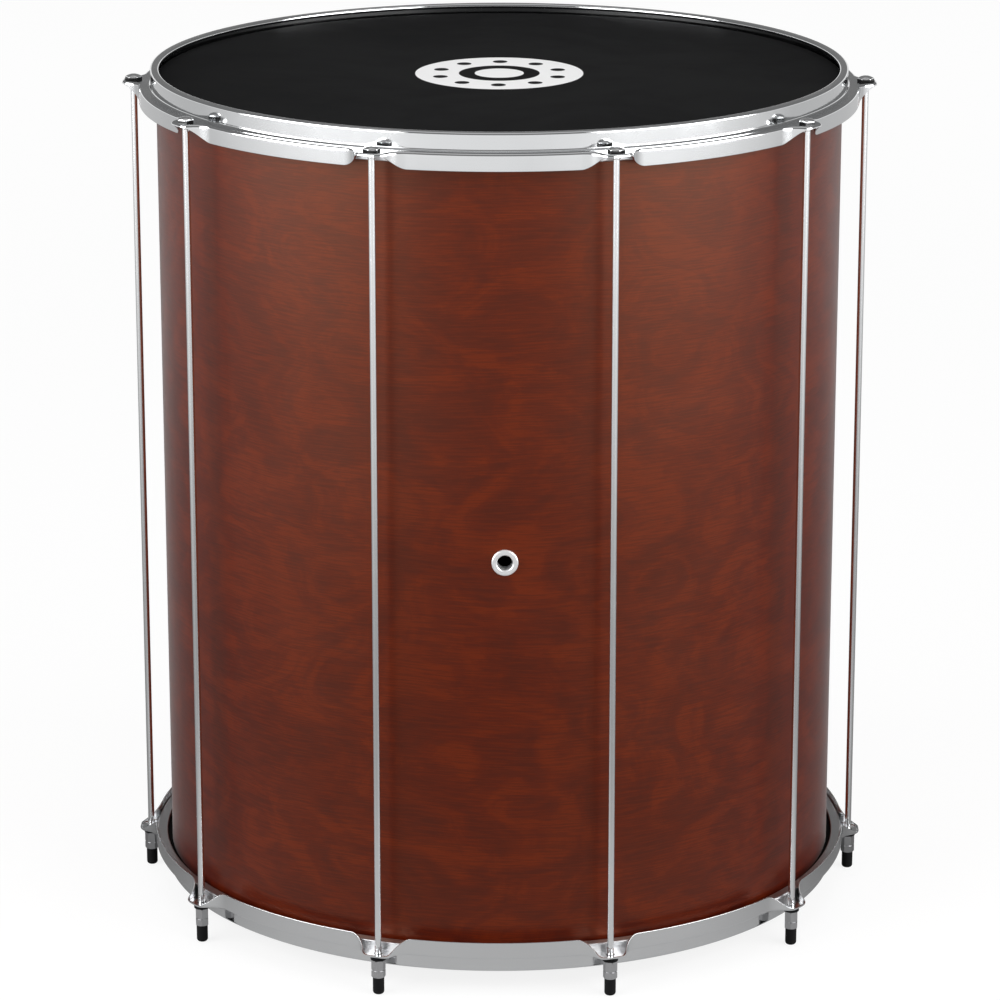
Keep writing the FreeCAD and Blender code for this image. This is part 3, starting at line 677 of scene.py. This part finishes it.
def ear_half(look, tip, skirt):
    """Points, outward directions and lifts from an ear's tip to half way along the plain skirt.

    The lift of the wall's free edge is 1 along the tip and 0 along the plain skirt, with a soft S between.
    """
    base = Vector((sqrt(skirt ** 2 - look.ear_half_base ** 2), look.ear_half_base))
    corner = Vector((tip, look.ear_half_tip))
    wall = (base - corner).normalized()
    outwards = Vector((wall.y, -wall.x))
    tip_turn = atan2(outwards.y, outwards.x)
    reach = look.ear_tip_round * tan(tip_turn / 2)
    tip_centre = Vector((tip - look.ear_tip_round, look.ear_half_tip - reach))
    # The root's arc touches the wall and, from outside, the skirt.
    foot = corner + outwards * look.ear_root_fillet
    along = foot.dot(wall)
    slide = -along - sqrt(along ** 2 - foot.length_squared + (skirt + look.ear_root_fillet) ** 2)
    root_centre = foot + wall * slide
    root_end = atan2(root_centre.y, root_centre.x)
    half_step = pi / len(ROD_NUMBERS)
    columns = [(Vector((tip, tip_centre.y * step / TIP_STEPS)), Vector((1.0, 0.0)))
               for step in range(TIP_STEPS)]
    for point in arc(tip_centre, look.ear_tip_round, 0.0, tip_turn, CORNER_STEPS):
        columns.append((point, (point - tip_centre).normalized()))
    wall_start = columns[-1][0]
    wall_stop = root_centre - outwards * look.ear_root_fillet
    columns += [(wall_start.lerp(wall_stop, step / SIDE_STEPS), outwards) for step in range(1, SIDE_STEPS)]
    for point in arc(root_centre, look.ear_root_fillet, tip_turn + pi, root_end + pi, ROOT_STEPS):
        columns.append((point, (root_centre - point).normalized()))
    run = [0.0]
    for (here, _), (there, _) in zip(columns, columns[1:]):
        run.append(run[-1] + (there - here).length)
    # The free edge starts to leave the lip's height 0.4 of the way round the tip's corner.
    begin = tip_centre.y + look.ear_tip_round * tip_turn * 0.4
    lifts = []
    for passed in run:
        fall = min(max((passed - begin) / (run[-1] - begin), 0.0), 1.0)
        lifts.append(1.0 - fall * fall * (3.0 - 2.0 * fall))
    for step in range(1, PLAIN_STEPS + 1):
        angle = root_end + (half_step - root_end) * step / PLAIN_STEPS
        ray = Vector((cos(angle), sin(angle)))
        columns.append((skirt * ray, ray))
        lifts.append(0.0)
    return [(point, ray, lift) for (point, ray), lift in zip(columns, lifts)]


def hoop_section(look, rim):
    """The hoop's section away from the ears: bead, collar, ledge and skirt in steel of one thickness."""
    out = look.collar_radius
    inside = out - look.steel
    bead = out - look.bead_width
    skirt = out + look.ledge_width
    ledge = rim - look.collar_height
    under = ledge - look.steel
    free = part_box("top_hoop")[0].z
    wall = skirt - look.steel
    flat = look.ledge_width - look.collar_fillet - look.fold_round
    ledge_steps = [out + look.collar_fillet + flat * step / LEDGE_STEPS for step in range(1, LEDGE_STEPS)]
    heights = [under + (free - under) * step / SKIRT_STEPS for step in range(1, SKIRT_STEPS)]
    corners = [(bead, rim, look.bead_round), (bead, rim - look.bead_height, look.bead_round),
               (inside, rim - look.bead_height, look.bead_fillet),
               (inside, under, look.collar_fillet + look.steel)]
    corners += [(x, under, 0.0) for x in ledge_steps]
    corners += [(wall, under, look.fold_round - look.steel)]
    corners += [(wall, height, 0.0) for height in heights]
    corners += [(wall, free, look.edge_round), (skirt, free, look.edge_round)]
    corners += [(skirt, height, 0.0) for height in reversed(heights)]
    corners += [(skirt, ledge, look.fold_round)]
    corners += [(x, ledge, 0.0) for x in reversed(ledge_steps)]
    corners += [(out, ledge, look.collar_fillet), (out, rim, look.bead_round)]
    return rounded(corners, look.round_steps)


def hoop_tenth(look):
    """One tenth of the top hoop about the +X direction, with its ear drawn out of the plain section."""
    low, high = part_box("top_hoop")
    tip = high.x
    rim = high.z
    skirt = look.collar_radius + look.ledge_width
    ledge = rim - look.collar_height
    half = ear_half(look, tip, skirt)
    columns = [(Vector((p.x, -p.y)), Vector((n.x, -n.y)), lift) for p, n, lift in half[:0:-1]] + half
    steps = len(columns) - 1
    tenth = tau / len(ROD_NUMBERS)
    mesh = spun(hoop_section(look, rim), Vector(), tenth, steps)
    ledge_start = look.collar_radius + look.collar_fillet
    ledge_stop = skirt - look.fold_round
    wall_top = ledge - look.fold_round
    lip = ledge - look.ear_lip
    for vert in mesh.verts:
        radius = Vector((vert.co.x, vert.co.y)).length
        column = round(abs(atan2(vert.co.y, vert.co.x)) / tenth * steps)
        point, outwards, lift = columns[column]
        ring = point.normalized()
        if radius <= ledge_start + TOUCH:
            place = ring * radius
        elif radius < ledge_stop:
            share_out = (radius - ledge_start) / (ledge_stop - ledge_start)
            place = (ring * ledge_start).lerp(point - outwards * look.fold_round, share_out)
        else:
            place = point - outwards * (skirt - radius)
        if radius > ledge_stop and vert.co.z < wall_top:
            free = low.z + (lip - low.z) * lift
            share_down = (wall_top - vert.co.z) / (wall_top - low.z)
            vert.co.z = wall_top + (free - wall_top) * share_down
        vert.co.x = place.x
        vert.co.y = place.y
    return mesh


def drilled(mesh, axis, radius, low, high):
    """The mesh with a hole drilled along an upright axis, from one height to another."""
    work = placed("work", as_data("work", smooth(mesh)))
    drill = bmesh.new()
    middle = Matrix.Translation(axis + Vector((0.0, 0.0, (low + high) / 2)))
    bmesh.ops.create_cone(drill, cap_ends=True, segments=48, radius1=radius, radius2=radius,
                          depth=high - low, matrix=middle)
    tool = placed("tool", as_data("tool", drill))
    cut = work.modifiers.new("Hole", "BOOLEAN")
    cut.object = tool
    cut.operation = "DIFFERENCE"
    cut.solver = "EXACT"
    cut.use_hole_tolerant = True
    result = bmesh.new()
    result.from_object(work, bpy.context.evaluated_depsgraph_get())
    for thing in (work, tool):
        data = thing.data
        bpy.data.objects.remove(thing)
        bpy.data.meshes.remove(data)
    return result


def hoop_mesh(look):
    """The whole top hoop: its drilled tenth repeated around the drum and joined."""
    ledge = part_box("top_hoop")[1].z - look.collar_height
    rod = axis_of("rubber_cap_01")
    mesh = drilled(hoop_tenth(look), rod, look.hole_radius, ledge - 2 * look.steel, ledge + look.steel)
    bmesh.ops.spin(mesh, geom=mesh.verts[:] + mesh.edges[:] + mesh.faces[:], cent=(0.0, 0.0, 0.0),
                   axis=UPRIGHT, angle=tau, steps=len(ROD_NUMBERS), use_duplicate=True, use_merge=True)
    bmesh.ops.remove_doubles(mesh, verts=mesh.verts, dist=SEAM)
    return smooth(mesh)


def rod_shank(look, axis, ledge):
    """The turned part of a rod: threaded core, shank and neck."""
    foot = Z_ROD_FOOT
    outline = [
        (0.0, foot),
        (look.thread_root - look.tip_chamfer, foot),
        (look.thread_root, foot + look.tip_chamfer),
        (look.thread_root, look.thread_top),
        (look.shank_radius, look.thread_top + look.neck_slope),
        (look.shank_radius, ledge - look.neck_length - look.neck_slope),
        (look.neck_radius, ledge - look.neck_length),
        (look.neck_radius, ledge),
        (0.0, ledge),
    ]
    return spun(outline, axis, tau, look.sides // 2)


def rod_head(look, axis, ledge):
    """The domed hexagonal head, drawn out of a turned one."""
    corner = look.head_flats / sqrt(3)
    top = ledge + look.head_height
    edge = look.head_edge / look.head_height
    # Each ring is a share of the corners' radius and of the height: the lower half becomes the head's
    # side, and the rings at 1.0 its dome.
    rings = [(1.0, 0.0), (1.0, 0.25), (1.0, 0.5 - edge), (0.985, 0.5 - 0.4 * edge), (0.95, 0.5)]
    rings += [(0.9 - 0.15 * step, 1.0) for step in range(6)]
    outline = [(0.0, ledge)]
    outline += [(corner * out, ledge + look.head_height * up) for out, up in rings]
    outline.append((0.0, top))
    mesh = spun(outline, axis, tau, look.sides)
    facing = atan2(axis.y, axis.x)
    for vert in mesh.verts:
        way = vert.co - axis
        radius = Vector((way.x, way.y)).length
        if radius < TOUCH:
            continue
        turn = (atan2(way.y, way.x) - facing) % (pi / 3) - pi / 6
        grown = look.head_flats / 2 / cos(turn) / corner
        share_up = (vert.co.z - ledge) / look.head_height
        if share_up > 0.75:
            vert.co.z = top - look.head_dome * (radius * grown / corner) ** DOME_POWER
        else:
            side = look.head_height - look.head_dome * (0.95 * grown) ** DOME_POWER
            vert.co.z = ledge + side * share_up / 0.5
        vert.co.x = axis.x + way.x * grown
        vert.co.y = axis.y + way.y * grown
    return mesh


def thread(look, axis, bottom):
    """A ridge wound up a rod: a section spun about the rod's axis while it climbs one pitch a turn."""
    mesh = bmesh.new()
    # Half the ridge's width at its foot and at its crest.
    half = 0.46 * look.thread_pitch
    flat = 0.08 * look.thread_pitch
    outline = [(look.thread_root - flat, -half), (look.thread_crest, -flat), (look.thread_crest, flat),
               (look.thread_root - flat, half)]
    corners = [mesh.verts.new(axis + Vector((x, 0.0, bottom + half + z))) for x, z in outline]
    section = mesh.faces.new(corners)
    turns = (look.thread_top - bottom - 2 * half) / look.thread_pitch
    steps = int(turns * look.thread_sides)
    rise = Vector((0.0, 0.0, look.thread_pitch / look.thread_sides))
    # A spin by a positive angle runs clockwise, so a right-handed thread needs a negative one.
    bmesh.ops.spin(mesh, geom=[section], cent=axis, axis=UPRIGHT, dvec=rise,
                   angle=-tau * steps / look.thread_sides, steps=steps, use_merge=False)
    return mesh


def joined(meshes):
    """One bmesh from several, with its faces turned outwards."""
    whole = bmesh.new()
    for mesh in meshes:
        data = as_data("part", smooth(mesh))
        whole.from_mesh(data)
        bpy.data.meshes.remove(data)
    return whole


def sharpened(mesh, angle):
    """Marks the edges that fold more than an angle as sharp."""
    for edge in mesh.edges:
        edge.smooth = not (len(edge.link_faces) == 2 and edge.calc_face_angle(0.0) > angle)
    return mesh


class SURDO_OT_dress_shell(bpy.types.Operator):
    """Stains and lacquers the wooden shell"""

    bl_idname = "surdo.dress_shell"
    bl_label = "Shell"

    def execute(self, context):
        dress(stained_ply(context.scene.surdo_wood), "shell")
        return {"FINISHED"}


class SURDO_OT_dress_heads(bpy.types.Operator):
    """Gives both heads their black napa, and the top one its round mark"""

    bl_idname = "surdo.dress_heads"
    bl_label = "Heads"

    def execute(self, context):
        look = context.scene.surdo_black
        dress(napa("Marked Napa", look, True), "top_head")
        dress(napa("Plain Napa", look, False), "bottom_head")
        return {"FINISHED"}


class SURDO_OT_dress_metal(bpy.types.Operator):
    """Plates the hoops, rods, nuts and vent, with painted light in the rods' and vent's colours and
    painted shade on the rod heads' sides, and gives the flesh rings their brushed aluminium
    """

    bl_idname = "surdo.dress_metal"
    bl_label = "Plated metal and aluminium"

    def execute(self, context):
        look = context.scene.surdo_metal
        rod = context.scene.surdo_rod
        chrome("Hoop Chrome", look.chrome, look.chrome_roughness, scale=11.0, wave=0.05 * MM)
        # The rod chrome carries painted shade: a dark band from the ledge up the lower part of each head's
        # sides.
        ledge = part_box("top_hoop")[1].z - context.scene.surdo_hoop.collar_height
        band = (ledge, ledge + rod.head_shade_band * rod.head_height)
        chrome("Rod Chrome With Painted Light", look.rod_chrome, look.rod_roughness, scale=60.0, wave=0.01 * MM, band=band)
        # The vent's near white, partly diffuse plate is partly painted light.
        vent = chrome("Vent Plate With Painted Light", look.vent_plate_with_painted_light, look.nut_roughness, scale=60.0, wave=0.01 * MM,
                      metal=0.7)
        dress(vent, "vent_eyelet", "vent_washer")
        nuts = chrome("Nut Nickel", look.nickel, look.nut_roughness, scale=90.0, wave=0.02 * MM)
        dress(nuts, *numbered("tuning_nut"))
        dress(brushed_aluminium(look), "top_flesh_ring", "bottom_flesh_ring")
        return {"FINISHED"}


class SURDO_OT_dress_feet(bpy.types.Operator):
    """Gives the washers their nylon and the caps their rubber"""

    bl_idname = "surdo.dress_feet"
    bl_label = "Washers and caps"

    def execute(self, context):
        look = context.scene.surdo_black
        rubber = moulded_black("Cap Rubber", look.rubber, roughness=0.52, size=0.5 * MM, depth=0.03 * MM)
        dress(rubber, *numbered("rubber_cap"))
        nylon = moulded_black("Washer Nylon", look.nylon, roughness=0.40, size=0.4 * MM, depth=0.01 * MM)
        dress(nylon, *numbered("nut_washer"))
        return {"FINISHED"}


class SURDO_OT_make_hoops(bpy.types.Operator):
    """Presses the top hoop, and turns a copy over for the bottom one"""

    bl_idname = "surdo.make_hoops"
    bl_label = "Hoops"

    def execute(self, context):
        mesh = hoop_mesh(context.scene.surdo_hoop)
        lower = mesh.copy()
        material = bpy.data.materials["Hoop Chrome"]
        finished("top_hoop_steel", sharpened(mesh, SHARP), "frame", material, "top_hoop")
        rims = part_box("top_hoop")[1].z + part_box("bottom_hoop")[0].z
        bmesh.ops.scale(lower, vec=(1.0, 1.0, -1.0), verts=lower.verts)
        bmesh.ops.translate(lower, vec=(0.0, 0.0, rims), verts=lower.verts)
        smooth(lower)
        finished("bottom_hoop_steel", sharpened(lower, SHARP), "lower_hoop", material,
                 "bottom_hoop")
        return {"FINISHED"}


class SURDO_OT_make_rods(bpy.types.Operator):
    """Turns the tension rods, with their threads and domed heads"""

    bl_idname = "surdo.make_rods"
    bl_label = "Tension rods"

    def execute(self, context):
        look = context.scene.surdo_rod
        material = bpy.data.materials["Rod Chrome With Painted Light"]
        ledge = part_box("top_hoop")[1].z - context.scene.surdo_hoop.collar_height
        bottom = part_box("rubber_cap_01")[1].z
        for number in ROD_NUMBERS:
            axis = axis_of(f"rubber_cap_{number}")
            mesh = joined([rod_shank(look, axis, ledge), rod_head(look, axis, ledge),
                           thread(look, axis, bottom)])
            finished(f"rod_steel_{number}", sharpened(mesh, SHARP), "frame", material,
                     f"tension_rod_{number}")
        return {"FINISHED"}


def studio_world(look):
    """A white room for the eye; gloss sees it dark over the horizon, as the far end of a studio is."""
    world = bpy.data.worlds.new("Studio")
    world.use_nodes = True
    board = Board(world.node_tree)
    back = next(node for node in world.node_tree.nodes if node.type == "BACKGROUND")
    way = board.node("TexCoord").outputs["Generated"]
    # The rise is the sine of a direction's angle over the horizon.
    rise = board.node("SeparateXYZ", {"Vector": way}).outputs["Z"]
    wall = board.remap(rise, 0.06, 0.17, to_low=1.0, to_high=look.room_gloss)
    ceiling = board.remap(rise, 0.72, 0.95, to_high=look.ceiling_gloss)
    gloss = board.math("MAXIMUM", wall, ceiling)
    shiny, eye = board.rays()
    more = board.math("MULTIPLY", shiny, board.math("SUBTRACT", gloss, look.ambient))
    level = board.math("ADD", look.ambient, more)
    unseen = board.math("MULTIPLY", board.math("SUBTRACT", 1.0, eye), level)
    board.fill(back, {"Strength": board.math("ADD", eye, unseen), "Color": WHITE})
    return world


def floor_material(look):
    """A pale floor: white for the eye apart from the drum's shadow, and brightest far off for gloss."""
    material, board, shader, place = new_material("Studio Floor")
    distance = board.reach(place)
    forward = board.node("SeparateXYZ", {"Vector": place}).outputs["Y"]
    # From -1 in front of the drum to 1 behind it.
    behind = board.math("DIVIDE", forward, distance)
    near = board.remap(distance, 0.38, 0.9, to_low=look.near_gloss, to_high=0.0)
    near = board.math("MULTIPLY", near, board.remap(behind, -1.0, 0.0, to_low=1.0, to_high=0.0))
    far = board.remap(distance, 0.9, 3.6, to_low=look.middle_gloss, to_high=look.far_gloss)
    far = board.math("MULTIPLY", far, board.remap(behind, -1.0, -0.7, to_low=0.83))
    far = board.math("MULTIPLY", far, board.remap(behind, -0.6, 0.3, 1.0, 0.50, smooth=False))
    for_gloss = board.math("ADD", near, far)
    for_eye = board.remap(distance, 0.5, 4.0, to_low=look.near_eye, to_high=look.far_eye)
    shiny, eye = board.rays()
    seen = board.math("MULTIPLY", eye, for_eye)
    mirrored = board.math("MULTIPLY", shiny, for_gloss)
    board.fill(shader, {
        "Emission Strength": board.math("ADD", seen, mirrored),
        "Emission Color": WHITE,
        "Base Color": rgba([look.floor_shade] * 3),
        "Roughness": 1.0,
        "Specular IOR Level": 0.0,
    })
    return material


def soft_light(name, place, target, width, height, glow):
    """An area light that faces a target, with its radiance given."""
    data = bpy.data.lights.new(name, "AREA")
    data.shape = "RECTANGLE"
    data.size = width
    data.size_y = height
    data.energy = glow * pi * width * height
    light = placed(name, data)
    light.location = place
    light.rotation_euler = (target - place).to_track_quat("-Z", "Y").to_euler()
    return light


class SURDO_OT_set_stage(bpy.types.Operator):
    """Sets up the floor, the lights, the room and the camera"""

    bl_idname = "surdo.set_stage"
    bl_label = "Studio"

    def execute(self, context):
        look = context.scene.surdo_studio
        mesh = bmesh.new()
        bmesh.ops.create_grid(mesh, x_segments=1, y_segments=1, size=look.floor_size / 2)
        data = as_data("Floor", mesh)
        data.materials.append(floor_material(look))
        floor = placed("Floor", data)
        floor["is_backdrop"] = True
        context.scene.world = studio_world(look)
        tall = look.side_height - look.side_bottom
        for side, way in (("Left", -1), ("Right", 1)):
            place = Vector((way * sin(look.side_angle), -cos(look.side_angle), 0.0)) * look.side_distance
            place.z = look.side_bottom + tall / 2
            target = Vector((0.0, 0.0, place.z))
            soft_light(f"{side} Light", place, target, look.side_width, tall, look.side_glow)
        above = Vector((0.0, look.top_back, look.top_distance))
        middle = Vector((0.0, 0.0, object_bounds()[1].z / 2))
        top_light = soft_light("Top Light", above, middle, look.top_width, look.top_width, look.top_glow)
        top_light.visible_glossy = False
        data = bpy.data.cameras.new("Camera")
        data.lens = look.focus / MM
        camera = placed("Camera", data)
        camera.location = (look.distance * sin(look.swing), -look.distance * cos(look.swing), look.height)
        camera.rotation_euler = (pi / 2 - look.pitch, 0.0, look.swing - look.turn)
        context.scene.camera = camera
        context.scene.view_settings.view_transform = "Standard"
        return {"FINISHED"}


STEPS = (
    SURDO_OT_dress_shell,
    SURDO_OT_dress_heads,
    SURDO_OT_dress_metal,
    SURDO_OT_dress_feet,
    SURDO_OT_make_hoops,
    SURDO_OT_make_rods,
    SURDO_OT_set_stage,
)


class SURDO_PT_panel(bpy.types.Panel):
    """Lists the steps that dress the drum"""

    bl_idname = "SURDO_PT_panel"
    bl_label = "Surdo"
    bl_space_type = "VIEW_3D"
    bl_region_type = "UI"
    bl_category = "Surdo"

    def draw(self, context):
        for step in STEPS:
            self.layout.operator(step.bl_idname)


GROUPS = {
    "surdo_wood": SurdoWood,
    "surdo_hoop": SurdoHoop,
    "surdo_rod": SurdoRod,
    "surdo_metal": SurdoMetal,
    "surdo_black": SurdoBlack,
    "surdo_studio": SurdoStudio,
}
CLASSES = (*GROUPS.values(), *STEPS, SURDO_PT_panel)


def register():
    for made in CLASSES:
        bpy.utils.register_class(made)
    for name, group in GROUPS.items():
        setattr(bpy.types.Scene, name, PointerProperty(type=group))


def unregister():
    for name in GROUPS:
        delattr(bpy.types.Scene, name)
    for made in reversed(CLASSES):
        bpy.utils.unregister_class(made)


def main():
    register()
    for step in STEPS:
        group, name = step.bl_idname.split(".")
        getattr(getattr(bpy.ops, group), name)()


if __name__ == "__main__":
    main()
